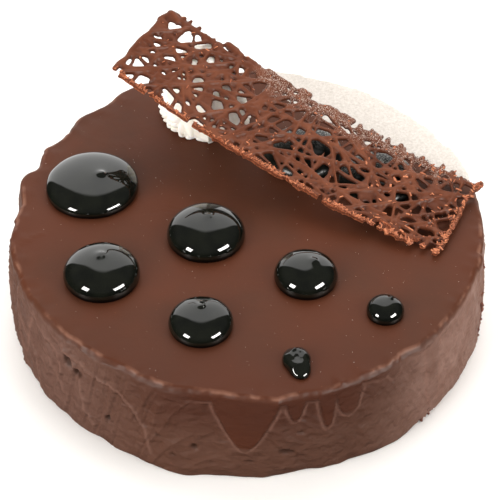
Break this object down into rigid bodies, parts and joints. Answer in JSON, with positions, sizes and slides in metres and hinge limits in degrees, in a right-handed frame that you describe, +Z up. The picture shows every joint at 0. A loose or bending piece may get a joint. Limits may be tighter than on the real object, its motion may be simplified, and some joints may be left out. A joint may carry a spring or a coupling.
{
  "type": "devils food cake",
  "caption": "Round uncut devils food cake under poured chocolate glaze, with black glossy drops, a mound of piped cream and a bent lattice panel of drizzled chocolate.",
  "frame": {"origin": "centre of the flat base, on the surface the cake stands on", "axes": "+Z up, the cake's round axis is Z, the front with the smallest drops faces -Y, +X to the right as seen from the front"},
  "size_m": [0.2502, 0.2507, 0.1128],
  "materials": {
    "chocolate_glaze": "satin gloss",
    "black_drop": "mirror gloss",
    "cream": "soft matt",
    "lattice_chocolate": "semi matt"
  },
  "bodies": {
    "root": {"cake_body": "chocolate_glaze", "glaze_drop_1": "black_drop", "glaze_drop_2": "black_drop", "glaze_drop_3": "black_drop", "glaze_drop_4": "black_drop", "glaze_drop_5": "black_drop", "glaze_drop_6": "black_drop", "glaze_drop_7": "black_drop", "glaze_drop_8": "black_drop", "glaze_drop_9": "black_drop", "piped_cream": "cream", "chocolate_lattice": "lattice_chocolate"}
  },
  "joints": []
}
